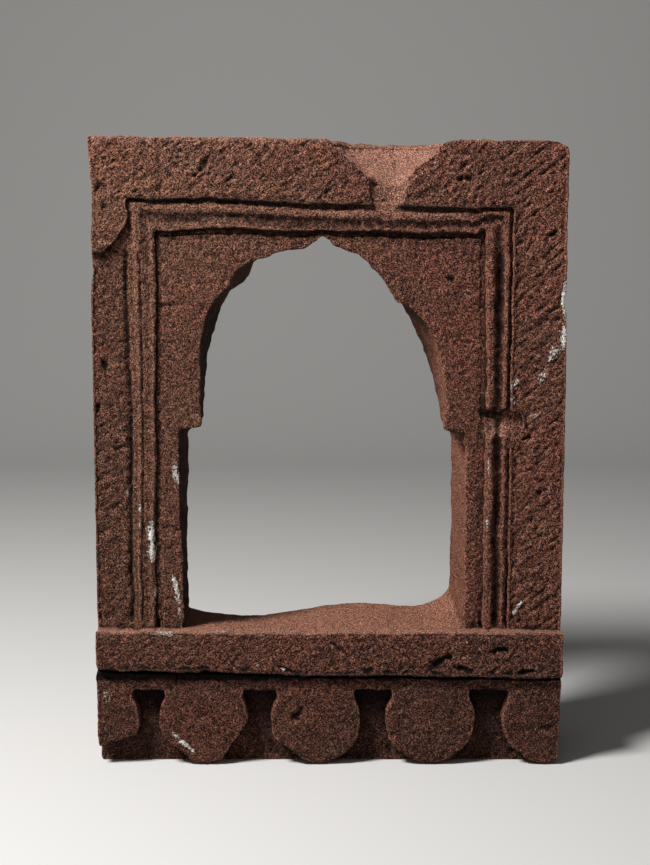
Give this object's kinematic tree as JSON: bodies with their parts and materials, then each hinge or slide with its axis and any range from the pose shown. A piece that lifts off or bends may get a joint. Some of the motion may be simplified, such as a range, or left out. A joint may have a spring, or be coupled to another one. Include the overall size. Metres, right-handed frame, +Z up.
{
  "type": "carved sandstone niche frame",
  "caption": "Arched niche or window frame carved from solid red sandstone, with a beaded moulding, a cusped arch, a square ledge and a row of round bosses.",
  "frame": {"origin": "middle of the underside, at the bottom centre of the bounding box", "axes": "+Z up, the carved face looks along -Y, +X is to the right seen from the carved face"},
  "size_m": [0.3, 0.09, 0.402],
  "materials": {
    "red_sandstone": "rough, hand-chiselled, weathered, with specks of old lime"
  },
  "bodies": {
    "root": {"carved_stone": "red_sandstone"}
  },
  "joints": []
}
